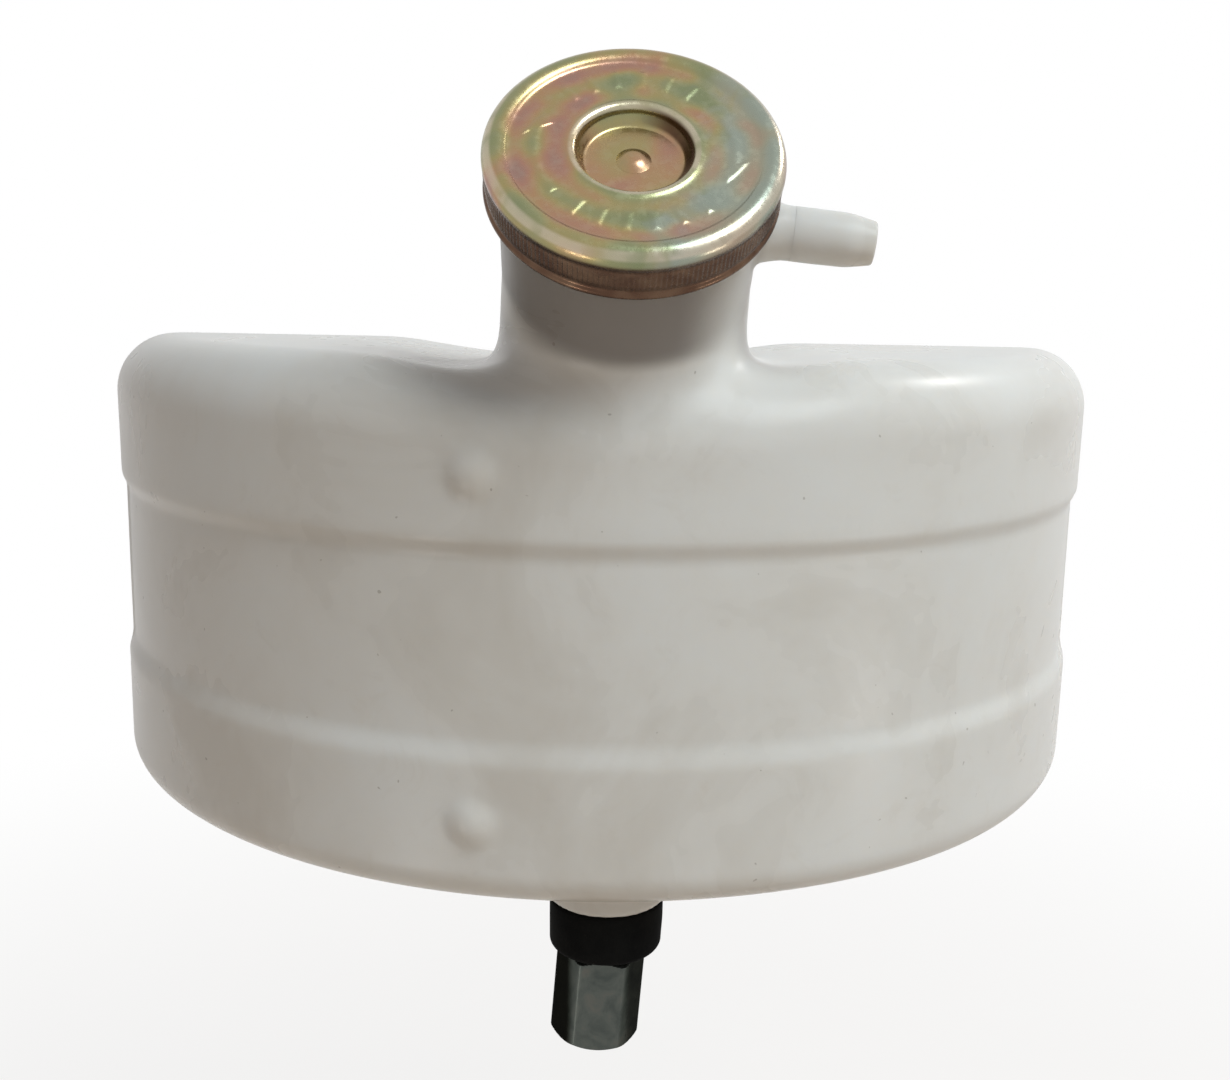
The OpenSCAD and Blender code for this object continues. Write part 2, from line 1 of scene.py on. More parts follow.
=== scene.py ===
"""Looks of the coolant expansion tank: blow-moulded shell, pressed cap, rubber sleeve and steel fitting."""

import json
import math

import bpy
import numpy as np
from mathutils import Matrix, Vector


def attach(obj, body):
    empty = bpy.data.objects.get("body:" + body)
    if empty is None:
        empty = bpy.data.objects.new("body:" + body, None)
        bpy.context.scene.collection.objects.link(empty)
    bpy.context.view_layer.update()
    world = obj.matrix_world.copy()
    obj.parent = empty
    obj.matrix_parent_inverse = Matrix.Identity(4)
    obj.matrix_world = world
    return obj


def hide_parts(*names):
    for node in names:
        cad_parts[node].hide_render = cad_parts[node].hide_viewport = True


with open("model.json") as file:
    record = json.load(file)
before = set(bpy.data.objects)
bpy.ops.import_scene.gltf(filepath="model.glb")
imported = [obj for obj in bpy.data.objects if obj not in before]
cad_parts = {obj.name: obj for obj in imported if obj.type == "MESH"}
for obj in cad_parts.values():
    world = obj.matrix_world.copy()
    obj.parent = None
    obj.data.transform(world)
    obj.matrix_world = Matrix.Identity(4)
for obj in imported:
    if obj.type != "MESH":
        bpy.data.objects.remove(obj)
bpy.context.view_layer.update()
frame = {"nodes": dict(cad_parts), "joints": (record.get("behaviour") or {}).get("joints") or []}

MM = 0.001
JOINTS = {joint["name"]: joint for joint in frame["joints"]}

# Body, in millimetres from the middle of the flat back, with the front towards -Y
BODY_W, BODY_D, BODY_H = 300.0, 134.0, 136.0
SADDLE_DEPTH, SADDLE_R, SADDLE_X = 5.6, 300.0, -4.0
FRONT_R, CORNER_R = 157.0, 22.0
SHOULDER_R, FOOT_R = 18.0, 10.0
WALL = 3.0
BAND_LOW, BAND_HIGH, BAND_DEPTH = 38.0, 93.0, 2.0
BAND_LEDGE, BAND_LIP = 5.0, 3.0
PIP_X, PIP_HEIGHTS, PIP_D, PIP_H = -34.7, (22.3, 109.5), 11.5, 2.0

# Neck, measured along its axis from the body's top
NECK_AXIS = Vector(JOINTS["cap_turn"]["axis"])
NECK_ROOT = Vector((2.0, -85.0, BODY_H / 2))
NECK_R, NECK_FLARE, FLARE_END, NECK_SUNK = 30.5, 1.8, 30.5, 45.8
RIM, THREAD_FOOT, THREAD_ROOT_R, NECK_BORE_R = 66.2, 58.0, 28.6, 25.6
THREAD_LEAD, RIDGE_START, RIDGE_BASE, RIDGE_CREST = 3.2, 58.9, 1.9, 0.7
NIPPLE_W, NIPPLE_TURN, NIPPLE_BORE_R = 50.0, 8.0, 4.0
NIPPLE_ROOT_R, NIPPLE_R, NIPPLE_TIP_R = 7.1, 6.3, 5.1
NIPPLE_FLARE_START, NIPPLE_SEAT, NIPPLE_TIP, NIPPLE_END = 31.5, 37.0, 51.0, 57.0

# Outlet
OUTLET_Y, BOSS_R, BOSS_H, BOSS_HOLE_R = -108.0, 15.8, 6.0, 12.0
SLEEVE_R, SLEEVE_H, SLEEVE_LIP_H = 15.1, 14.0, 2.5
FITTING_LEAN = math.radians(4.0)
SPIGOT_R, HEX_AF, HEX_H = 8.0, 21.0, 25.0


def neck_matrix():
    """Frame of the neck: x to the right, y up and back, z along the neck's axis."""
    side = Vector((1, 0, 0))
    back = NECK_AXIS.cross(side)
    m = Matrix((side, back, NECK_AXIS)).transposed().to_4x4()
    m.translation = NECK_ROOT * MM
    return m


NECK = neck_matrix()
NIPPLE = NECK @ Matrix.Translation((0, 0, NIPPLE_W * MM)) @ Matrix.Rotation(
    -math.radians(NIPPLE_TURN), 4, "Z") @ Matrix.Rotation(math.pi / 2, 4, "Y")
OUTLET = Matrix.Translation((0, OUTLET_Y * MM, -BODY_H / 2 * MM))
FITTING = OUTLET @ Matrix.Translation((0, 0, -BOSS_H * MM)) @ Matrix.Rotation(FITTING_LEAN, 4, "Y")


# Mesh helpers


def new_piece(name, verts, faces, matrix=None, crease=32.0):
    """Piece in the frame's own place: the matrix goes into its mesh. Edges over crease degrees stay sharp."""
    mesh = bpy.data.meshes.new(name)
    mesh.from_pydata([Vector(v) * MM for v in verts], [], faces)
    if matrix is not None:
        mesh.transform(matrix)
    mesh.validate()
    mesh.polygons.foreach_set("use_smooth", [True] * len(mesh.polygons))
    mesh.set_sharp_from_angle(angle=math.radians(crease))
    made = bpy.data.objects.new(name, mesh)
    bpy.context.scene.collection.objects.link(made)
    return made


def arc(x, y, radius, first, last, steps):
    """Points of an arc, from angle first to angle last in degrees."""
    turns = [math.radians(first + (last - first) * k / steps) for k in range(steps + 1)]
    return [(x + radius * math.cos(t), y + radius * math.sin(t)) for t in turns]


def line(start, end, steps):
    """Points between start and end, both left out."""
    return [tuple(a + (b - a) * k / steps for a, b in zip(start, end)) for k in range(1, steps)]


def revolve(name, outline, segments, matrix=None, shape=None, crease=32.0):
    """Outline (radius, height) turned about z, closed, or a solid where it starts and ends on the axis.

    shape(radius, height, angle) may move a point; it returns the new x, y and z.
    """
    area = sum(a[0] * b[1] - b[0] * a[1] for a, b in zip(outline, outline[1:] + outline[:1]))
    if area < 0:
        outline = outline[::-1]
    solid = outline[0][0] == 0 and outline[-1][0] == 0
    ring_points = outline[1:-1] if solid else outline
    ring = len(ring_points)
    verts, faces = [], []
    for s in range(segments):
        angle = 2 * math.pi * s / segments
        for r, z in ring_points:
            verts.append(shape(r, z, angle) if shape else (r * math.cos(angle), r * math.sin(angle), z))
    for s in range(segments):
        n = (s + 1) % segments
        for k in range(ring - solid):
            m = (k + 1) % ring
            faces.append((s * ring + k, n * ring + k, n * ring + m, s * ring + m))
    if solid:
        verts += [(0, 0, outline[0][1]), (0, 0, outline[-1][1])]
        foot, top = segments * ring, segments * ring + 1
        for s in range(segments):
            n = (s + 1) % segments
            faces.append((foot, n * ring, s * ring))
            faces.append((top, s * ring + ring - 1, n * ring + ring - 1))
    return new_piece(name, verts, faces, matrix, crease)


def ease(value, low, high):
    t = min(max((value - low) / (high - low), 0.0), 1.0)
    return t * t * (3 - 2 * t)


def screw_ridge(height, angle, start, lead, turns, base, crest):
    """0 to 1 on one turn after another of a thread's ridge, right-handed, with run-outs at both ends."""
    turn = (height - start) / lead - angle / (2 * math.pi)
    index = min(max(round(turn), 0), math.ceil(turns))
    gone = index + angle / (2 * math.pi)
    off = abs(turn - index) * lead
    ends = ease(gone, 0.0, 0.2) * (1 - ease(gone, turns - 0.2, turns))
    return (1 - ease(off, crest / 2, base / 2)) * ends


# Material helpers


def add(tree, kind, inputs=None, **settings):
    made = tree.nodes.new(kind)
    for key, value in settings.items():
        setattr(made, key, value)
    for key, value in (inputs or {}).items():
        socket = made.inputs[key]
        if isinstance(value, bpy.types.NodeSocket):
            tree.links.new(value, socket)
        else:
            socket.default_value = value
    return made


def new_material(name, **inputs):
    """Principled material. Returns the material, its tree and its shader."""
    material = bpy.data.materials.new(name)
    material.use_nodes = True
    shader = material.node_tree.nodes["Principled BSDF"]
    for key, value in inputs.items():
        shader.inputs[key.replace("_", " ")].default_value = value
    return material, material.node_tree, shader


def object_place(tree):
    return add(tree, "ShaderNodeTexCoord").outputs["Object"]


def noise(tree, place, scale, detail=3.0, roughness=0.5, distortion=0.0):
    made = add(tree, "ShaderNodeTexNoise", {
        "Vector": place, "Scale": scale, "Detail": detail, "Roughness": roughness, "Distortion": distortion})
    return made.outputs["Fac"]


def math_node(tree, operation, *values):
    return add(tree, "ShaderNodeMath", dict(enumerate(values)), operation=operation).outputs[0]


def product(tree, first, *others):
    for other in others:
        first = math_node(tree, "MULTIPLY", first, other)
    return first


def total(tree, first, *others):
    for other in others:
        first = math_node(tree, "ADD", first, other)
    return first


def ramp(tree, fac, stops):
    """Colour ramp through stops of (place, linear colour)."""
    made = add(tree, "ShaderNodeValToRGB", {"Fac": fac})
    elements = made.color_ramp.elements
    while len(elements) < len(stops):
        elements.new(0.5)
    for element, (place, color) in zip(elements, stops):
        element.position = place
        element.color = (*color, 1)
    return made.outputs["Color"]


def spread(tree, value, low, high, to_low=0.0, to_high=1.0):
    """Soft step of a value: to_low at low and beyond, to_high at high and beyond."""
    made = add(tree, "ShaderNodeMapRange", {
        "Value": value, "From Min": low, "From Max": high, "To Min": to_low, "To Max": to_high},
        interpolation_type="SMOOTHSTEP")
    return made.outputs["Result"]


def mix(tree, fac, first, second):
    made = add(tree, "ShaderNodeMix", data_type="RGBA")
    for socket, value in ((made.inputs[0], fac), (made.inputs[6], first), (made.inputs[7], second)):
        if isinstance(value, bpy.types.NodeSocket):
            tree.links.new(value, socket)
        elif isinstance(value, tuple):
            socket.default_value = (*value, 1)
        else:
            socket.default_value = value
    return made.outputs[2]


def bump(tree, shader, height, strength, distance):
    made = add(tree, "ShaderNodeBump", {"Height": height, "Strength": strength, "Distance": distance})
    tree.links.new(made.outputs["Normal"], shader.inputs["Normal"])


# Shape of the blown shell, worked out as distances from its outside

VOXEL = 1.35
SHELL_TRIANGLES = 190000
NECK_BLEND, PIP_BLEND, BOSS_BLEND, NIPPLE_BLEND = 15.0, 2.5, 5.0, 5.0
SHELL_NECK_END, SHELL_NIPPLE_END = 56.2, 39.5


def smooth_step(value, low, high):
    t = np.clip((value - low) / (high - low), 0, 1)
    return t * t * (3 - 2 * t)


def smooth_union(a, b, reach):
    share = np.maximum(reach - np.abs(a - b), 0) / reach
    return np.minimum(a, b) - share**3 * reach / 6


def neck_coordinates(p):
    local = (p - np.array(NECK_ROOT)) @ np.array(NECK.to_3x3())
    return local[:, 0], local[:, 1], local[:, 2]


def nipple_coordinates(p):
    """Distance along the nipple from the neck's axis, and distance from the nipple's own axis."""
    x, y, w = neck_coordinates(p)
    turn = math.radians(NIPPLE_TURN)
    along = x * math.cos(turn) - y * math.sin(turn)
    across = x * math.sin(turn) + y * math.cos(turn)
    return along, np.hypot(across, w - NIPPLE_W)


def saddle_depth(x):
    """How far the saddle lies below the top; softly 0 where it ends."""
    depth = SADDLE_DEPTH - SADDLE_R + np.sqrt(np.maximum(SADDLE_R**2 - (x - SADDLE_X) ** 2, 0))
    return -smooth_union(-depth, np.zeros_like(depth), 2.5)


def body_distance(p, soft):
    x, y, z = np.abs(p[:, 0]), p[:, 1], p[:, 2]
    front = FRONT_R - np.hypot(x, y - (FRONT_R - BODY_D))
    side = BODY_W / 2 - x
    corner_x = BODY_W / 2 - CORNER_R
    corner = CORNER_R - np.hypot(np.maximum(x - corner_x, 0), np.maximum(y + CORNER_R, 0))
    inset = np.minimum(np.minimum(front, side), np.minimum(-y, corner))
    height = z + BODY_H / 2
    dent = smooth_step(height, BAND_LOW - 1, BAND_LOW + BAND_LEDGE + 1)
    dent -= smooth_step(height, BAND_HIGH - BAND_LIP - 1.5, BAND_HIGH + 1.5)
    inset = inset - BAND_DEPTH * dent * smooth_step(-y, CORNER_R - 4, CORNER_R + 4)
    if soft:
        inset = inset - ripple(p)
    top = BODY_H / 2 - z - (saddle_depth(p[:, 0]) if soft else 0)
    for end, radius in ((top, SHOULDER_R), (BODY_H / 2 + z, FOOT_R)):
        round_in = radius - np.hypot(np.maximum(radius - inset, 0), np.maximum(radius - end, 0))
        inset = np.where((inset < radius) & (end < radius), round_in, np.minimum(inset, end))
    if soft:
        return -inset
    saddle_top = BODY_H / 2 - SADDLE_DEPTH + SADDLE_R
    saddle = SADDLE_R - np.hypot(p[:, 0] - SADDLE_X, z - saddle_top)
    return np.maximum(-inset, saddle)


def ripple(p):
    """Slight unevenness of a blown wall, always inwards."""
    x, y, z = p[:, 0], p[:, 1], p[:, 2]
    wave = np.sin(x / 21 + 1.3 + 0.8 * np.sin(z / 33)) * np.sin(z / 17 + 0.4 + y / 60)
    wave += 0.6 * np.sin(x / 47 - 0.7) * np.sin(z / 39 + 1.9)
    return 0.2 + 0.13 * wave


def neck_distance(p):
    x, y, w = neck_coordinates(p)
    radius = NECK_R + NECK_FLARE * np.maximum(1 - w / FLARE_END, 0)
    return np.maximum(np.hypot(x, y) - radius, -w - NECK_SUNK)


def nipple_distance(p):
    along, off_axis = nipple_coordinates(p)
    flare = 1 - smooth_step(along, NIPPLE_FLARE_START, NIPPLE_SEAT)
    return np.maximum(off_axis - NIPPLE_R - (NIPPLE_ROOT_R - NIPPLE_R) * flare, -along)


def boss_distance(p):
    round_over = 1.6
    side = np.hypot(p[:, 0], p[:, 1] - OUTLET_Y) - BOSS_R + round_over
    end = -p[:, 2] - BODY_H / 2 - BOSS_H + round_over
    edge = np.hypot(np.maximum(side, 0), np.maximum(end, 0)) + np.minimum(np.maximum(side, end), 0)
    return np.maximum(edge - round_over, p[:, 2] + BODY_H / 2 - FOOT_R)


def pip_distance(p):
    ball_r = ((PIP_D / 2) ** 2 + PIP_H**2) / (2 * PIP_H)
    along = math.asin(PIP_X / FRONT_R)
    reach = FRONT_R + PIP_H - ball_r
    x, y = reach * math.sin(along), FRONT_R - BODY_D - reach * math.cos(along)
    found = np.full(len(p), 1e3)
    for height in PIP_HEIGHTS:
        centre = np.array((x, y, height - BODY_H / 2))
        found = np.minimum(found, np.linalg.norm(p - centre, axis=1) - ball_r)
    return found


def shell_distance(p, soft=True):
    """Distance from the shell's outside; soft runs its parts into each other."""
    front = smooth_step(-neck_coordinates(p)[1], 0, NECK_R)
    parts = (
        (neck_distance(p), NECK_BLEND * (1 + front)), (pip_distance(p), PIP_BLEND),
        (boss_distance(p), BOSS_BLEND), (nipple_distance(p), NIPPLE_BLEND))
    found = body_distance(p, soft)
    for part, reach in parts:
        found = smooth_union(found, part, reach) if soft else np.minimum(found, part)
    return found


def smoothed(points, edges, share, rounds):
    """Points moved towards the mean of their neighbours."""
    size = len(points)
    count = np.bincount(edges.ravel(), minlength=size)
    for _ in range(rounds):
        mean = np.stack([
            (np.bincount(edges[:, 0], points[edges[:, 1], k], size)
             + np.bincount(edges[:, 1], points[edges[:, 0], k], size)) / count for k in range(3)], axis=1)
        points = points + share[:, None] * (mean - points)
    return points


def free_share(p):
    """1 where the outside is drawn to the soft shape, 0 inside, in the outlet's hole and at the cut ends."""
    x, y, w = neck_coordinates(p)
    near_neck = np.hypot(x, y) < NECK_R + 5
    share = np.where(near_neck, 1 - smooth_step(w, SHELL_NECK_END - 2, SHELL_NECK_END), 1.0)
    along, off_axis = nipple_coordinates(p)
    share = share * np.where(off_axis < 12, 1 - smooth_step(along, SHELL_NIPPLE_END - 1, SHELL_NIPPLE_END), 1.0)
    hole = smooth_step(np.hypot(p[:, 0], p[:, 1] - OUTLET_Y), BOSS_HOLE_R, BOSS_HOLE_R + 1.5)
    return share * np.where(p[:, 2] < -BODY_H / 2 + WALL + 1, hole, 1.0)


def ends_tucked(p):
    """The shell's two turned ends drawn in, so that the neck's finish and the nipple cover them."""
    x, y, w = neck_coordinates(p)
    radius = np.maximum(np.hypot(x, y), 1e-6)
    wall = (radius > NECK_BORE_R - 2) & (radius < NECK_R + 3)
    part = np.where(wall, smooth_step(w, SHELL_NECK_END, SHELL_NECK_END + 0.8), 0)
    middle = (THREAD_ROOT_R + NECK_BORE_R) / 2 + 0.3
    scale = 1 + part * ((middle + 0.25 * (radius - middle)) / radius - 1)
    w = np.where(wall & (w > SHELL_NECK_END), SHELL_NECK_END + 0.12 * (w - SHELL_NECK_END), w)
    local = np.stack([x * scale, y * scale, w], axis=1)
    p = local @ np.array(NECK.to_3x3()).T + np.array(NECK_ROOT)

    local = (np.c_[p * MM, np.ones(len(p))] @ np.array(NIPPLE.inverted()).T)[:, :3] / MM
    off_axis = np.maximum(np.hypot(local[:, 0], local[:, 1]), 1e-6)
    tube = (off_axis < NIPPLE_ROOT_R + 1) & (local[:, 2] > SHELL_NIPPLE_END)
    middle = (NIPPLE_R + NIPPLE_BORE_R) / 2
    part = np.where(tube, smooth_step(local[:, 2], SHELL_NIPPLE_END, SHELL_NIPPLE_END + 0.8), 0)
    scale = 1 + part * ((middle + 0.2 * (off_axis - middle)) / off_axis - 1)
    local[:, :2] *= scale[:, None]
    local[:, 2] = np.where(tube, SHELL_NIPPLE_END + 0.08 * (local[:, 2] - SHELL_NIPPLE_END), local[:, 2])
    return (np.c_[local * MM, np.ones(len(p))] @ np.array(NIPPLE).T)[:, :3] / MM


def drawn_to_shape(points, share):
    moving = share > 0
    step = 0.05
    for _ in range(3):
        p = points[moving]
        here = shell_distance(p)
        slope = np.stack([(shell_distance(p + step * axis) - here) / step for axis in np.eye(3)], axis=1)
        size = np.maximum((slope**2).sum(1), 0.25)
        points[moving] = p - (share[moving] * np.clip(here / size, -4, 4))[:, None] * slope
    return points


def evaluated(piece):
    """The piece's mesh with its modifiers applied."""
    graph = bpy.context.evaluated_depsgraph_get()
    mesh = bpy.data.meshes.new_from_object(piece.evaluated_get(graph))
    piece.modifiers.clear()
    piece.data = mesh
    return mesh


def tank_shell():
    """The CAD shell remeshed finely, with its outside drawn to the soft blown shape."""
    piece = bpy.data.objects.new("blown_shell", frame["nodes"]["tank_body"].data.copy())
    bpy.context.scene.collection.objects.link(piece)
    piece.data.materials.clear()
    remesh = piece.modifiers.new("remesh", "REMESH")
    remesh.mode = "VOXEL"
    remesh.voxel_size = VOXEL * MM
    mesh = evaluated(piece)
    points = np.empty(len(mesh.vertices) * 3)
    mesh.vertices.foreach_get("co", points)
    points = points.reshape(-1, 3) / MM
    edges = np.empty(len(mesh.edges) * 2, int)
    mesh.edges.foreach_get("vertices", edges)
    edges = edges.reshape(-1, 2)
    outside = np.abs(shell_distance(points, soft=False)) < WALL / 2
    share = free_share(points) * outside
    for _ in range(4):
        points = drawn_to_shape(smoothed(points, edges, 0.5 * share, 3), share)
    points = ends_tucked(points)
    mesh.vertices.foreach_set("co", (points * MM).ravel())
    mesh.update()
    thinner = piece.modifiers.new("thinner", "DECIMATE")
    thinner.ratio = min(1.0, SHELL_TRIANGLES / (2 * len(mesh.polygons)))
    mesh = evaluated(piece)
    mesh.polygons.foreach_set("use_smooth", [True] * len(mesh.polygons))
    mesh.update()
    return piece


# Materials


def neck_place(tree, place):
    """Place in the neck's frame: right, up-back, along the axis, and distance from the axis."""
    root = tuple(NECK_ROOT * MM)
    local = add(tree, "ShaderNodeVectorMath", {0: place, 1: root}, operation="SUBTRACT").outputs[0]
    found = [
        add(tree, "ShaderNodeVectorMath", {0: local, 1: tuple(axis)}, operation="DOT_PRODUCT").outputs["Value"]
        for axis in NECK.to_3x3().transposed()]
    squares = total(tree, product(tree, found[0], found[0]), product(tree, found[1], found[1]))
    return (*found, math_node(tree, "SQRT", squares))


PLASTIC_TONES = [(0.32, (0.585, 0.56, 0.52)), (0.5, (0.645, 0.63, 0.60)), (0.68, (0.66, 0.655, 0.635))]
STAIN_COLOR, STAIN_SHARE = (0.50, 0.45, 0.385), 0.13
SPECK_COLOR, SPECK_SHARE = (0.16, 0.125, 0.09), 0.4
PAINTED_NECK_SHADE_COLOR = (0.17, 0.15, 0.14)


def natural_plastic():
    """Milky blown plastic: clouded, a little translucent, with painted shade on the neck under the cap."""
    material, tree, shader = new_material(
        "natural_plastic", Subsurface_Weight=0.3, Subsurface_Scale=0.005, Specular_IOR_Level=0.7, IOR=1.2)
    shader.inputs["Subsurface Radius"].default_value = (1.0, 0.85, 0.7)
    place = object_place(tree)
    cloud = noise(tree, place, 16, 4, 0.6, 0.6)
    color = ramp(tree, cloud, PLASTIC_TONES)
    stain = spread(tree, noise(tree, place, 55, 5, 0.65, 1.2), 0.56, 0.74)
    color = mix(tree, product(tree, stain, STAIN_SHARE), color, STAIN_COLOR)
    specks = spread(tree, noise(tree, place, 420, 1, 0.3), 0.80, 0.82)
    color = mix(tree, product(tree, specks, SPECK_SHARE), color, SPECK_COLOR)
    x, up, along, off_axis = neck_place(tree, place)
    # Painted shade of the cap on the neck: darkest on the left and front, fading towards the root and above the
    # cap's foot.
    from_root = spread(tree, along, 26.5 * MM, 37.5 * MM)
    on_neck = spread(tree, off_axis, 33.5 * MM, 31.8 * MM)
    left = spread(tree, x, 26 * MM, 10 * MM, 0.15, 0.8)
    in_front = spread(tree, up, 20 * MM, -4 * MM, 0.2, 1.0)
    below_cap = spread(tree, along, 59 * MM, 57.2 * MM, 0.15, 1.0)
    shade = product(tree, from_root, on_neck, left, in_front, below_cap)
    color = mix(tree, shade, color, PAINTED_NECK_SHADE_COLOR)
    tree.links.new(color, shader.inputs["Base Color"])
    tree.links.new(spread(tree, cloud, 0.3, 0.7, 0.24, 0.34), shader.inputs["Roughness"])
    bump(tree, shader, noise(tree, place, 260, 3, 0.55), 0.06, 0.0006)
    return material


FILM = [
    (0.00, (0.205, 0.230, 0.125)), (0.22, (0.255, 0.255, 0.130)), (0.42, (0.320, 0.262, 0.120)),
    (0.62, (0.365, 0.225, 0.125)), (0.82, (0.350, 0.190, 0.140)), (1.00, (0.300, 0.180, 0.150))]
BLUE_FILM, WORN_AND_HIGHLIGHT_ZINC, HAZE_COLOR = (0.275, 0.315, 0.290), (0.56, 0.48, 0.38), (0.27, 0.255, 0.19)
COPPER_AND_SHADE_TONES = [(0.35, (0.085, 0.046, 0.030)), (0.65, (0.140, 0.085, 0.054))]
RECESS_SHADE_COLOR = (0.062, 0.030, 0.018)
RING_START, RING_WIDTH = 15.8 * MM, 9 * MM


def yellow_zinc(name, pressed_cap):
    """Yellow-passivated zinc, whose thin film runs through gold, green, blue-grey and rose."""
    material, tree, shader = new_material(name, Metallic=1.0)
    place = object_place(tree)
    x, up, along, off_axis = neck_place(tree, place)
    drift = noise(tree, place, 46, 1.0, 0.4, 1.0)
    veil = noise(tree, place, 130, 2, 0.5, 0.5)
    veil_shift = math_node(tree, "SUBTRACT", veil, 0.5)
    ring_place = math_node(tree, "SUBTRACT", off_axis, RING_START)
    rings = math_node(tree, "SINE", product(tree, ring_place, 2 * math.pi / RING_WIDTH))
    film = add(tree, "ShaderNodeMapRange", {
        "Value": drift, "From Min": 0.28, "From Max": 0.72, "To Min": -0.05, "To Max": 0.85}).outputs["Result"]
    film = total(tree, film, product(tree, rings, 0.20), product(tree, veil_shift, 0.30))
    if pressed_cap:
        sunk = spread(tree, off_axis, 15 * MM, 11 * MM, 0.0, 0.7)
        warm = total(tree, product(tree, math_node(tree, "SUBTRACT", drift, 0.5), 0.8), 0.62)
        film = add(tree, "ShaderNodeMix", {0: sunk, 2: film, 3: warm}, data_type="FLOAT").outputs[0]
    color = ramp(tree, film, FILM)
    if pressed_cap:
        side = math_node(tree, "SUBTRACT", x, product(tree, up, 0.35))
        side = total(tree, side, product(tree, veil_shift, 30 * MM))
        blue = product(
            tree, spread(tree, side, 8 * MM, 22 * MM), spread(tree, off_axis, 14 * MM, 17.5 * MM),
            spread(tree, film, 0.2, 0.8, 0.75, 0.3))
        color = mix(tree, blue, color, BLUE_FILM)
    haze = spread(tree, noise(tree, place, 420, 4, 0.7), 0.35, 0.75)
    color = mix(tree, product(tree, haze, 0.22), color, HAZE_COLOR)
    if pressed_cap:
        # Pale band on the rolled rim and round the sunk centre's lip: partly worn zinc, partly a painted
        # highlight.
        bead = product(
            tree, spread(tree, off_axis, 31.6 * MM, 32.5 * MM, 0.0, 0.6),
            spread(tree, off_axis, 33.8 * MM, 33.4 * MM))
        lip = product(
            tree, spread(tree, off_axis, 12.9 * MM, 13.4 * MM), spread(tree, off_axis, 15.2 * MM, 14.4 * MM),
            spread(tree, along, 68.5 * MM, 69.3 * MM, 0.0, 0.7))
        thin = spread(tree, veil, 0.25, 0.6, 0.35, 0.95)
        color = mix(tree, product(tree, thin, math_node(tree, "MAXIMUM", bead, lip)), color, WORN_AND_HIGHLIGHT_ZINC)
        # Dark skirt: partly the film's copper tone, partly painted shade.
        skirt = product(
            tree, spread(tree, along, 68.4 * MM, 66.8 * MM), spread(tree, off_axis, 31.8 * MM, 33 * MM))
        color = mix(tree, skirt, color, ramp(tree, veil, COPPER_AND_SHADE_TONES))
        # Painted shade on the wall of the sunk centre, darkest on the right.
        recess = product(
            tree, spread(tree, off_axis, 11.2 * MM, 11.9 * MM), spread(tree, off_axis, 13.9 * MM, 13.1 * MM),
            spread(tree, x, -1 * MM, 9 * MM, 0.0, 0.9))
        color = mix(tree, recess, color, RECESS_SHADE_COLOR)
    tree.links.new(color, shader.inputs["Base Color"])
    tree.links.new(spread(tree, haze, 0.0, 1.0, 0.24, 0.38), shader.inputs["Roughness"])
    bump(tree, shader, noise(tree, place, 900, 2, 0.6), 0.08, 0.0002)
    return material


def black_rubber():
    """Dull black moulded rubber."""
    material, tree, shader = new_material("black_rubber", Roughness=0.8, Specular_IOR_Level=0.03)
    place = object_place(tree)
    cloud = noise(tree, place, 90, 3, 0.6)
    color = ramp(tree, cloud, [(0.35, (0.0035, 0.0035, 0.0035)), (0.7, (0.008, 0.008, 0.0075))])
    tree.links.new(color, shader.inputs["Base Color"])
    bump(tree, shader, noise(tree, place, 1400, 3, 0.6), 0.25, 0.0002)
    return material


STEEL_TONES = [(0.33, (0.060, 0.068, 0.062)), (0.55, (0.088, 0.096, 0.086)), (0.72, (0.112, 0.108, 0.094))]
DARK_REFLECTION_COLOR = (0.012, 0.012, 0.009)


def plated_steel():
    """Dull grey-green plating on machined steel, with faint turning marks and painted dark reflections on its
    sides.
    """
    material, tree, shader = new_material(
        "plated_steel", Metallic=0.9, Specular_IOR_Level=0.1, Specular_Tint=(0.2, 0.2, 0.2, 1))
    place = object_place(tree)
    cloud = noise(tree, place, 170, 5, 0.62, 0.5)
    color = ramp(tree, cloud, STEEL_TONES)
    x = add(tree, "ShaderNodeSeparateXYZ", {0: place}).outputs[0]
    # Painted dark reflection on the hexagon's sides, strongest on the left.
    dark_reflection_left = spread(tree, x, -8.5 * MM, -10.5 * MM, 0.0, 0.97)
    dark_reflection_right = spread(tree, x, 4.5 * MM, 7 * MM, 0.0, 0.6)
    color = mix(tree, math_node(tree, "MAXIMUM", dark_reflection_left, dark_reflection_right), color, DARK_REFLECTION_COLOR)
    tree.links.new(color, shader.inputs["Base Color"])
    tree.links.new(spread(tree, cloud, 0.3, 0.7, 0.34, 0.5), shader.inputs["Roughness"])
    stretched = add(tree, "ShaderNodeMapping", {"Vector": place, "Scale": (1, 1, 12)}).outputs[0]
    bump(tree, shader, noise(tree, stretched, 260, 3, 0.6), 0.15, 0.0002)
    return material


def plain_metal(name, dark, light, roughness):
    """Bright drawn or turned metal with fine marks."""
    material, tree, shader = new_material(name, Metallic=1.0)
    place = object_place(tree)
    cloud = noise(tree, place, 230, 4, 0.6, 0.4)
    tree.links.new(ramp(tree, cloud, [(0.3, dark), (0.7, light)]), shader.inputs["Base Color"])
    tree.links.new(spread(tree, cloud, 0.3, 0.7, roughness, roughness + 0.14), shader.inputs["Roughness"])
    bump(tree, shader, noise(tree, place, 1600, 2, 0.6), 0.12, 0.0001)
    return material


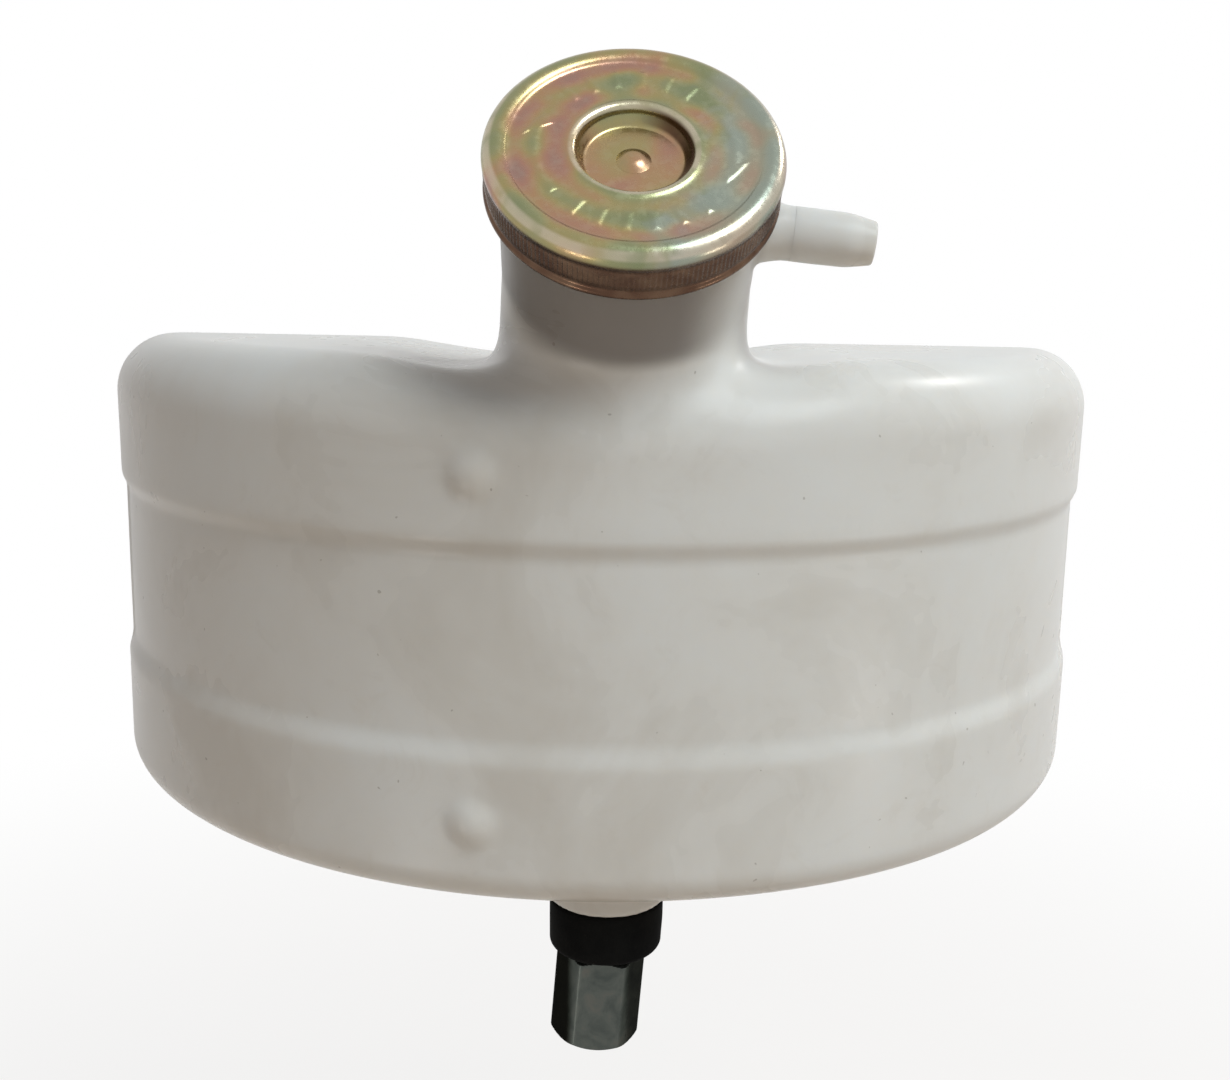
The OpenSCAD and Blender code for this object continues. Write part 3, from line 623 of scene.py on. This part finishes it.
def cream_plastic():
    """Cream moulded plastic of the cap's thread ring."""
    material, tree, shader = new_material("cream_plastic", Specular_IOR_Level=0.5)
    place = object_place(tree)
    cloud = noise(tree, place, 120, 3, 0.55)
    color = ramp(tree, cloud, [(0.3, (0.62, 0.585, 0.48)), (0.7, (0.70, 0.67, 0.57))])
    tree.links.new(color, shader.inputs["Base Color"])
    tree.links.new(spread(tree, cloud, 0.3, 0.7, 0.38, 0.5), shader.inputs["Roughness"])
    bump(tree, shader, noise(tree, place, 800, 2), 0.1, 0.0002)
    return material


# Pieces of the neck, the nipple and the outlet


def neck_finish():
    """The neck's threaded end: shoulder, outside thread, rim and mouth."""
    turns, height = 2.0, 1.55
    outline = [(28.9, 54.0), (30.2, 54.7), (30.53, 55.3), (30.53, 56.2)]
    outline += arc(29.8, 57.2, 0.73, 0, 80, 5)
    outline += [(29.2, 57.96), (28.9, 58.1)]
    outline += line((THREAD_ROOT_R, 58.3), (THREAD_ROOT_R, 65.4), 34)
    outline += arc(THREAD_ROOT_R - 0.7, RIM - 0.7, 0.7, 0, 90, 5)
    outline += arc(NECK_BORE_R + 0.7, RIM - 0.7, 0.7, 90, 180, 5)
    outline += line((NECK_BORE_R, 65.0), (NECK_BORE_R, 55.4), 5)
    outline += [(NECK_BORE_R + 0.9, 54.4)]

    def shape(r, z, angle):
        if r > THREAD_ROOT_R - 0.01 and THREAD_FOOT < z < RIM - 0.75:
            r += height * screw_ridge(z, angle, RIDGE_START, THREAD_LEAD, turns, RIDGE_BASE, RIDGE_CREST)
        return r * math.cos(angle), r * math.sin(angle), z

    return revolve("neck_finish", outline, 300, NECK, shape)


def overflow_nipple():
    """Straight hose seat with a soft, tapered tip."""
    start = SHELL_NIPPLE_END - 3.3
    outline = [(NIPPLE_R - 1.2, start), (NIPPLE_R - 0.3, start + 1.5), (NIPPLE_R + 0.03, start + 1.75)]
    outline += line((NIPPLE_R + 0.03, start + 1.75), (NIPPLE_R, NIPPLE_TIP - 1.5), 8)
    outline += [(NIPPLE_R, NIPPLE_TIP - 1.5), (NIPPLE_R - 0.04, NIPPLE_TIP - 0.5)]
    outline += [(NIPPLE_R - 0.16, NIPPLE_TIP + 0.5)]
    outline += line((NIPPLE_R - 0.16, NIPPLE_TIP + 0.5), (NIPPLE_TIP_R + 0.15, NIPPLE_END - 0.8), 5)
    outline += arc(NIPPLE_TIP_R - 0.55, NIPPLE_END - 0.6, 0.6, 15, 90, 5)
    outline += [(NIPPLE_BORE_R + 0.2, NIPPLE_END), (NIPPLE_BORE_R, NIPPLE_END - 0.25)]
    outline += line((NIPPLE_BORE_R, NIPPLE_END - 0.25), (NIPPLE_BORE_R, start + 0.6), 8)
    outline += [(NIPPLE_BORE_R + 0.6, start)]

    def shape(r, z, angle):
        worn = 0.05 * math.sin(3 * angle + z / 3.1) + 0.04 * math.sin(5 * angle - z / 2.3)
        r -= (0.09 + worn) * ease(z, SHELL_NIPPLE_END + 2, NIPPLE_TIP) * ease(r, NIPPLE_BORE_R, NIPPLE_TIP_R)
        return r * math.cos(angle), r * math.sin(angle), z

    return revolve("overflow_nipple", outline, 128, NIPPLE, shape)


def rubber_sleeve():
    """Rubber bush: lip inside the tank, waist in the outlet's hole, full collar below the boss."""
    bore = SPIGOT_R + 0.1
    waist, lip = BOSS_HOLE_R - 0.1, BOSS_HOLE_R + 1.6
    low, high, top = -BOSS_H - SLEEVE_H, -BOSS_H, WALL + SLEEVE_LIP_H
    outline = arc(bore + 0.7, low + 0.7, 0.7, 180, 270, 4)
    outline += arc(SLEEVE_R - 2.2, low + 2.2, 2.2, -90, -8, 10)
    outline += line((SLEEVE_R - 0.02, low + 2.4), (SLEEVE_R, high - 1.5), 8)
    outline += arc(SLEEVE_R - 1.1, high - 1.1, 1.1, 0, 90, 6)
    outline += [(waist + 0.4, high - 0.01), (waist, high + 0.3), (waist, WALL - 0.2)]
    outline += [(waist + 0.2, WALL + 0.01), (lip - 0.3, WALL + 0.01), (lip, WALL + 0.35)]
    outline += [(waist + 0.3, top - 0.3), (waist - 0.3, top), (bore + 0.4, top), (bore, top - 0.4)]
    outline += line((bore, top - 0.4), (bore, low + 0.7), 8)
    lean = math.tan(FITTING_LEAN)

    def shape(r, z, angle):
        follow = 1 - ease(r, bore + 0.5, bore + 3)
        squeeze = 0.35 * ease(z, low + 9, low + 1) * ease(r, bore + 3, SLEEVE_R) * (0.6 + 0.4 * math.cos(angle))
        r -= squeeze
        return r * math.cos(angle) + follow * lean * (z + BOSS_H), r * math.sin(angle), z

    return revolve("rubber_sleeve", outline, 144, OUTLET, shape)


def hexagon_radius(angle):
    """Radius of a hexagon with slightly rounded corners, a corner towards x."""
    sharpness = 4
    flat = HEX_AF / 2 / math.cos(math.radians(math.degrees(angle) % 60 - 30))
    corner = HEX_AF / 2 / math.cos(math.radians(30)) - 0.3
    return -math.log(math.exp(-sharpness * flat) + math.exp(-sharpness * corner)) / sharpness


def steel_fitting():
    """Long hexagon with turned chamfers, a tapped hole from below and a barbed spigot above."""
    top = -SLEEVE_H - math.sin(FITTING_LEAN) * SLEEVE_R
    foot = top - HEX_H
    barb_r = SPIGOT_R + 0.8
    sleeve_top = BOSS_H + WALL + SLEEVE_LIP_H
    spigot_top = (sleeve_top + 0.3 + barb_r * math.sin(FITTING_LEAN)) / math.cos(FITTING_LEAN)
    tap_r, tap_top, flow_r, corner_r = 6.2, foot + 17.0, 4.5, 12.2
    tap_lead, tap_turns, tap_depth, tap_base, tap_crest = 1.5, 9.5, 0.78, 1.35, 0.25
    outline = [(7.2, foot), (9.6, foot)]
    outline += [(corner_r, foot + 0.02 + 0.2 * k) for k in range(9)]
    outline += line((corner_r, foot + 1.7), (corner_r, top - 1.7), 14)
    outline += [(corner_r, top - 0.02 - 0.2 * k) for k in range(8, -1, -1)]
    outline += [(9.6, top), (SPIGOT_R + 0.3, top), (SPIGOT_R, top + 0.3)]
    outline += [(SPIGOT_R, spigot_top - 0.2), (barb_r - 0.15, spigot_top), (barb_r, spigot_top + 0.15)]
    outline += [(SPIGOT_R - 0.6, spigot_top + 1.9), (SPIGOT_R - 0.9, spigot_top + 2)]
    outline += [(flow_r + 0.3, spigot_top + 2), (flow_r, spigot_top + 1.7), (flow_r, tap_top + 0.3)]
    outline += [(flow_r + 0.3, tap_top), (tap_r - 0.2, tap_top), (tap_r, tap_top - 0.2)]
    outline += line((tap_r, tap_top - 0.2), (tap_r, foot + 0.9), 80)
    outline += [(tap_r, foot + 0.9), (7.0, foot + 0.1)]

    def shape(r, z, angle):
        if r == corner_r:
            limit = 10.1 + 1.5 * min(z - foot, top - z)
            r = min(hexagon_radius(angle), max(limit, 9.6))
        elif abs(r - tap_r) < 0.001:
            r += tap_depth * screw_ridge(z, angle, foot + 0.9, tap_lead, tap_turns, tap_base, tap_crest)
        return r * math.cos(angle), r * math.sin(angle), z

    return revolve("steel_fitting", outline, 240, FITTING, shape, crease=22.0)


# Pieces of the cap

CAP_FLAT, CAP_FOOT, DISH = 70.05, 57.65, 66.15
KNURL_FOOT, KNURL_TOP, RIB_COUNT, RIB_H = 60.65, 66.05, 180, 0.28
MARK_R, MARK_H = 22.4, 0.26
ARROW_STARTS, ARROW_TURN = (38.0, 218.0), 66
HEAD_L, HEAD_W, SHAFT_W = 5.5, 6.4, 2.3
TICK_COUNT, TICK_START, TICK_STEP, TICK_L, TICK_W = 6, 17, 15, 5.4, 1.9


def mark_height(r, angle):
    """Raised turn arrows and grip ticks round the cap's flat band."""
    found = 0.0
    for first in ARROW_STARTS:
        back = (first - math.degrees(angle)) % 360
        along = math.radians(back) * r
        if back < ARROW_TURN:
            to_tip = math.radians(ARROW_TURN) * MARK_R - along
            half = HEAD_W / 2 * to_tip / HEAD_L if to_tip < HEAD_L else SHAFT_W / 2
            inside = min(half - abs(r - MARK_R), along, to_tip)
            found = max(found, ease(inside, -0.5, 1.0))
        for k in range(TICK_COUNT):
            tick = (math.degrees(angle) - first - TICK_START - TICK_STEP * k + 180) % 360 - 180
            off = abs(math.radians(tick)) * r
            inside = min(TICK_W / 2 - off, TICK_L / 2 - abs(r - MARK_R))
            found = max(found, ease(inside, -0.5, 0.9))
    return MARK_H * found


def pressed_cap():
    """The cap's sheet: sunk centre, raised lip, marked band, rolled rim, knurled skirt, curled foot."""
    outline = [(2.6, DISH - 0.15), (2.75, DISH)] + line((2.75, DISH), (10.6, DISH), 8)
    outline += arc(10.6, DISH + 1.2, 1.2, -90, -30, 6)
    outline += line((11.65, DISH + 0.6), (12.98, 68.5), 5)
    outline += arc(14.6, 68.85, 1.6, 186, 62, 16)
    outline += [(15.75, 70.14), (16.15, 70.07), (16.6, CAP_FLAT)]
    outline += line((16.6, CAP_FLAT), (27.4, CAP_FLAT), 32)
    outline += [(27.4, CAP_FLAT), (27.85, 70.09), (28.25, 70.2), (28.6, 70.42)]
    outline += arc(30.6, 67.75, 3.4, 121, -27, 30)
    outline += line((33.6, 66.1), (33.445, KNURL_FOOT + 0.05), 9)
    outline += [(33.42, KNURL_FOOT - 0.2), (33.4, 60.1)]
    outline += arc(33.0, CAP_FOOT + 1.0, 1.0, 62, -180, 20)
    outline += [(32.02, 59.1), (32.25, 59.5), (32.4, 60.0)]
    outline += line((32.4, 60.0), (32.4, 66.2), 4)
    outline += arc(30.6, 67.75, 2.4, -40, 124, 14)
    outline += [(28.6, 69.2), (28.0, 69.05)] + line((28.0, 69.05), (15.6, 69.05), 6)
    outline += arc(14.6, 68.85, 0.6, 40, 190, 6)
    outline += [(12.8, 65.3), (12.6, 65.15), (2.75, 65.15), (2.6, 65.3)]

    def shape(r, z, angle):
        if 17.0 < r < 28.0 and z > CAP_FLAT - 0.01:
            z += mark_height(r, angle)
        if r > 33.4 and z < KNURL_TOP + 0.1:
            fade = ease(z, KNURL_FOOT - 0.25, KNURL_FOOT + 0.5) * ease(z, KNURL_TOP + 0.1, KNURL_TOP - 0.7)
            r += fade * RIB_H * (0.5 - 0.5 * math.cos(RIB_COUNT * angle))
        return r * math.cos(angle), r * math.sin(angle), z

    return revolve("pressed_cap", outline, 720, NECK, shape, crease=60.0)


def domed_rivet():
    """Rivet: low dome with a flat struck top, shank and lower head."""
    under = 63.35
    dome = (
        (0, 1.36), (1.2, 1.34), (1.9, 1.22), (2.6, 0.94), (3.2, 0.56), (3.6, 0.27), (3.85, 0.1), (3.98, 0.02),
        (3.98, 0), (2.5, 0))
    head = ((2.5, 0), (3.9, 0), (3.98, -0.12), (3.1, -1.1), (2.8, -1.2), (0, -1.2))
    outline = [(r, DISH + height) for r, height in dome] + [(r, under + height) for r, height in head]

    def shape(r, z, angle):
        if z > DISH + 0.5:
            z -= 0.05 * (1 + math.sin(2 * angle + 1.1)) * r / 3
        return r * math.cos(angle), r * math.sin(angle), z

    return revolve("domed_rivet", outline, 96, NECK, shape, crease=50.0)


def cap_thread():
    """Ring with the cap's inside thread, half a lead off the neck's."""
    foot, top, out_r, in_r = 59.65, 66.45, 32.3, 30.5
    start, turns, height = RIDGE_START + THREAD_LEAD / 2, 1.7, 1.35
    outline = arc(out_r - 0.3, foot + 0.3, 0.3, -90, 0, 3) + arc(out_r - 0.3, top - 0.3, 0.3, 0, 90, 3)
    outline += arc(in_r + 0.3, top - 0.3, 0.3, 90, 180, 3)
    outline += line((in_r, top - 0.3), (in_r, foot + 0.3), 30)
    outline += arc(in_r + 0.3, foot + 0.3, 0.3, 180, 270, 3)

    def shape(r, z, angle):
        if abs(r - in_r) < 0.001:
            r -= height * screw_ridge(z, angle, start, THREAD_LEAD, turns, RIDGE_BASE, RIDGE_CREST)
        return r * math.cos(angle), r * math.sin(angle), z

    return revolve("cap_thread", outline, 300, NECK, shape)


def rim_ring():
    """Rubber ring on the neck's rim, slim enough for the cap's thread to rise past it."""
    low, high, out_r, in_r, edge = RIM, RIM + 2.2, THREAD_ROOT_R + 0.3, NECK_BORE_R + 0.3, 0.4
    outline = arc(out_r - edge, low + edge, edge, -90, 0, 4) + arc(out_r - edge, high - edge, edge, 0, 90, 4)
    outline += arc(in_r + edge, high - edge, edge, 90, 180, 4) + arc(in_r + edge, low + edge, edge, 180, 270, 4)
    return revolve("rim_ring", outline, 200, NECK)


plastic = natural_plastic()
cap_zinc = yellow_zinc("cap_zinc", pressed_cap=True)
zinc = yellow_zinc("yellow_zinc", pressed_cap=False)
rubber = black_rubber()
steel = plated_steel()
cream = cream_plastic()
spring_steel = plain_metal("spring_steel", (0.35, 0.35, 0.36), (0.55, 0.55, 0.56), 0.24)
brass = plain_metal("brass", (0.50, 0.34, 0.12), (0.68, 0.50, 0.21), 0.24)

for piece, body, node, slot, material in (
    (tank_shell(), "tank", "tank_body", "natural_plastic", plastic),
    (neck_finish(), "tank", None, "natural_plastic", plastic),
    (overflow_nipple(), "tank", None, "natural_plastic", plastic),
    (rubber_sleeve(), "tank", "outlet_grommet", "black_rubber", rubber),
    (steel_fitting(), "tank", "outlet_adaptor", "plated_steel", steel),
    (pressed_cap(), "cap", "cap_shell", "yellow_zinc", cap_zinc),
    (domed_rivet(), "cap", "cap_rivet", "yellow_zinc", cap_zinc),
    (cap_thread(), "cap", "thread_ring", "cream_plastic", cream),
    (rim_ring(), "rim_seal", "rim_seal", "black_rubber", rubber),
):
    piece.data.materials.append(material)
    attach(piece, body)
    if node:
        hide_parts(node)

for node_name, material in {
    "spring_diaphragm": spring_steel, "spring_housing": zinc, "pressure_spring": spring_steel,
    "pressure_plate": zinc, "pressure_seal": rubber, "vacuum_valve": brass, "vacuum_spring": spring_steel,
    "vacuum_spring_cap": brass,
}.items():
    mesh = frame["nodes"][node_name].data
    mesh.materials.clear()
    mesh.materials.append(material)


# Camera, at the photograph's place

CAMERA_PLACE = Vector((-12.2, -452.0, 88.5)) * MM
CAMERA_YAW, CAMERA_PITCH, CAMERA_ROLL = math.radians(2.10), math.radians(10.94), math.radians(1.13)
FOCAL_PIXELS, IMAGE_W = 1381.35, 1230.0
SENSOR = 36.0


def photo_camera():
    forward = Vector((
        math.sin(CAMERA_YAW) * math.cos(CAMERA_PITCH), math.cos(CAMERA_YAW) * math.cos(CAMERA_PITCH),
        -math.sin(CAMERA_PITCH)))
    level = Vector((math.cos(CAMERA_YAW), -math.sin(CAMERA_YAW), 0))
    upright = level.cross(forward)
    right = level * math.cos(CAMERA_ROLL) + upright * math.sin(CAMERA_ROLL)
    up = upright * math.cos(CAMERA_ROLL) - level * math.sin(CAMERA_ROLL)
    data = bpy.data.cameras.new("photo_camera")
    data.sensor_width = SENSOR
    data.lens = SENSOR * FOCAL_PIXELS / IMAGE_W
    data.clip_start = 0.01
    camera = bpy.data.objects.new("photo_camera", data)
    bpy.context.scene.collection.objects.link(camera)
    m = Matrix((right, up, -forward)).transposed().to_4x4()
    m.translation = CAMERA_PLACE
    camera.matrix_world = m
    bpy.context.scene.camera = camera


# Light and surroundings. Lamps stand round LIT_PLACE; azimuths in degrees to the right of the front.

LIT_PLACE = Vector((0, -0.12, 0.07))
LAMPS = (
    # name, azimuth, elevation, distance, size, power, color
    ("window", 44, 48, 1.30, 0.70, 13.5, (0.87, 0.96, 1.0)),
    ("side_glint", 118, 38, 0.95, 0.16, 1.5, (1.0, 0.99, 0.97)),
    ("low_left_glint", -48, -38, 0.55, 0.10, 0.26, (1.0, 0.95, 0.90)),
    ("low_right_glint", 66, -26, 0.55, 0.10, 0.22, (1.0, 0.97, 0.94)),
)
FROM_BELOW, FROM_ABOVE = (0.21, 0.178, 0.148), (0.33, 0.322, 0.315)
WHITE = (1, 1, 1, 1)
FLOOR_TONES = [(0.3, (0.58, 0.49, 0.40)), (0.7, (0.61, 0.52, 0.43))]
FLOOR_Z, FLOOR_REACH, FLOOR_FADE_START, FLOOR_FADE_END, FLOOR_SHADOW = -0.32, 6.0, 0.35, 0.9, 0.15


def area_light(name, azimuth, elevation, distance, size, power, color):
    """Round lamp aimed at the lit place."""
    data = bpy.data.lights.new(name, "AREA")
    data.shape = "DISK"
    data.size = size
    data.energy = power
    data.color = color
    lamp = bpy.data.objects.new(name, data)
    bpy.context.scene.collection.objects.link(lamp)
    turn, rise = math.radians(azimuth), math.radians(elevation)
    out = Vector((math.sin(turn) * math.cos(rise), -math.cos(turn) * math.cos(rise), math.sin(rise)))
    lamp.location = LIT_PLACE + out * distance
    lamp.rotation_euler = out.to_track_quat("Z", "Y").to_euler()
    lamp.visible_camera = False


def seen_directly(tree):
    """1 for what the camera, gloss and glass look at, 0 for the light that falls on the object."""
    path = add(tree, "ShaderNodeLightPath")
    seen = math_node(tree, "MAXIMUM", path.outputs["Is Camera Ray"], path.outputs["Is Glossy Ray"])
    return math_node(tree, "MAXIMUM", seen, path.outputs["Is Transmission Ray"])


def white_world():
    """White to look at; the light it gives is soft, warmer from below and stronger from the front."""
    world = bpy.data.worlds.new("white_world")
    bpy.context.scene.world = world
    world.use_nodes = True
    tree = world.node_tree
    tree.nodes.clear()
    direction = add(tree, "ShaderNodeTexCoord").outputs["Generated"]
    split = add(tree, "ShaderNodeSeparateXYZ", {0: direction})
    color = ramp(tree, spread(tree, split.outputs[2], -0.5, 0.8), [(0.0, FROM_BELOW), (1.0, FROM_ABOVE)])
    front = spread(tree, split.outputs[1], 0.3, -0.9, 0.6, 1.3)
    soft = add(tree, "ShaderNodeBackground", {"Color": color, "Strength": front})
    white = add(tree, "ShaderNodeBackground", {"Color": WHITE, "Strength": 1.0})
    both = add(tree, "ShaderNodeMixShader", {0: seen_directly(tree), 1: soft.outputs[0], 2: white.outputs[0]})
    add(tree, "ShaderNodeOutputWorld", {"Surface": both.outputs[0]})


def floor_material():
    """White floor: close by it shows the object's soft shadow, further off it runs into the background."""
    material = bpy.data.materials.new("pale_floor")
    material.use_nodes = True
    tree = material.node_tree
    tree.nodes.clear()
    place = object_place(tree)
    far = add(tree, "ShaderNodeVectorMath", {0: place}, operation="LENGTH").outputs["Value"]
    near = spread(tree, far, FLOOR_FADE_END, FLOOR_FADE_START, 0.0, FLOOR_SHADOW)
    grain = ramp(tree, noise(tree, place, 30, 3, 0.5), FLOOR_TONES)
    matte = add(tree, "ShaderNodeBsdfDiffuse", {"Color": grain})
    glow = add(tree, "ShaderNodeEmission", {"Color": WHITE, "Strength": 1.0})
    white = add(tree, "ShaderNodeMixShader", {0: near, 1: glow.outputs[0], 2: matte.outputs[0]})
    shown = add(tree, "ShaderNodeMixShader", {0: seen_directly(tree), 1: matte.outputs[0], 2: white.outputs[0]})
    clear = add(tree, "ShaderNodeBsdfTransparent", {"Color": WHITE})
    under = add(tree, "ShaderNodeNewGeometry").outputs["Backfacing"]
    both = add(tree, "ShaderNodeMixShader", {0: under, 1: shown.outputs[0], 2: clear.outputs[0]})
    add(tree, "ShaderNodeOutputMaterial", {"Surface": both.outputs[0]})
    return material


def floor():
    reach, height = FLOOR_REACH / MM, FLOOR_Z / MM
    corners = [(x * reach, y * reach, height) for x, y in ((-1, -1), (1, -1), (1, 1), (-1, 1))]
    piece = new_piece("floor", corners, [(0, 1, 2, 3)])
    piece.data.materials.append(floor_material())


photo_camera()
white_world()
floor()
for lamp in LAMPS:
    area_light(*lamp)
bpy.context.scene.view_settings.view_transform = "Standard"
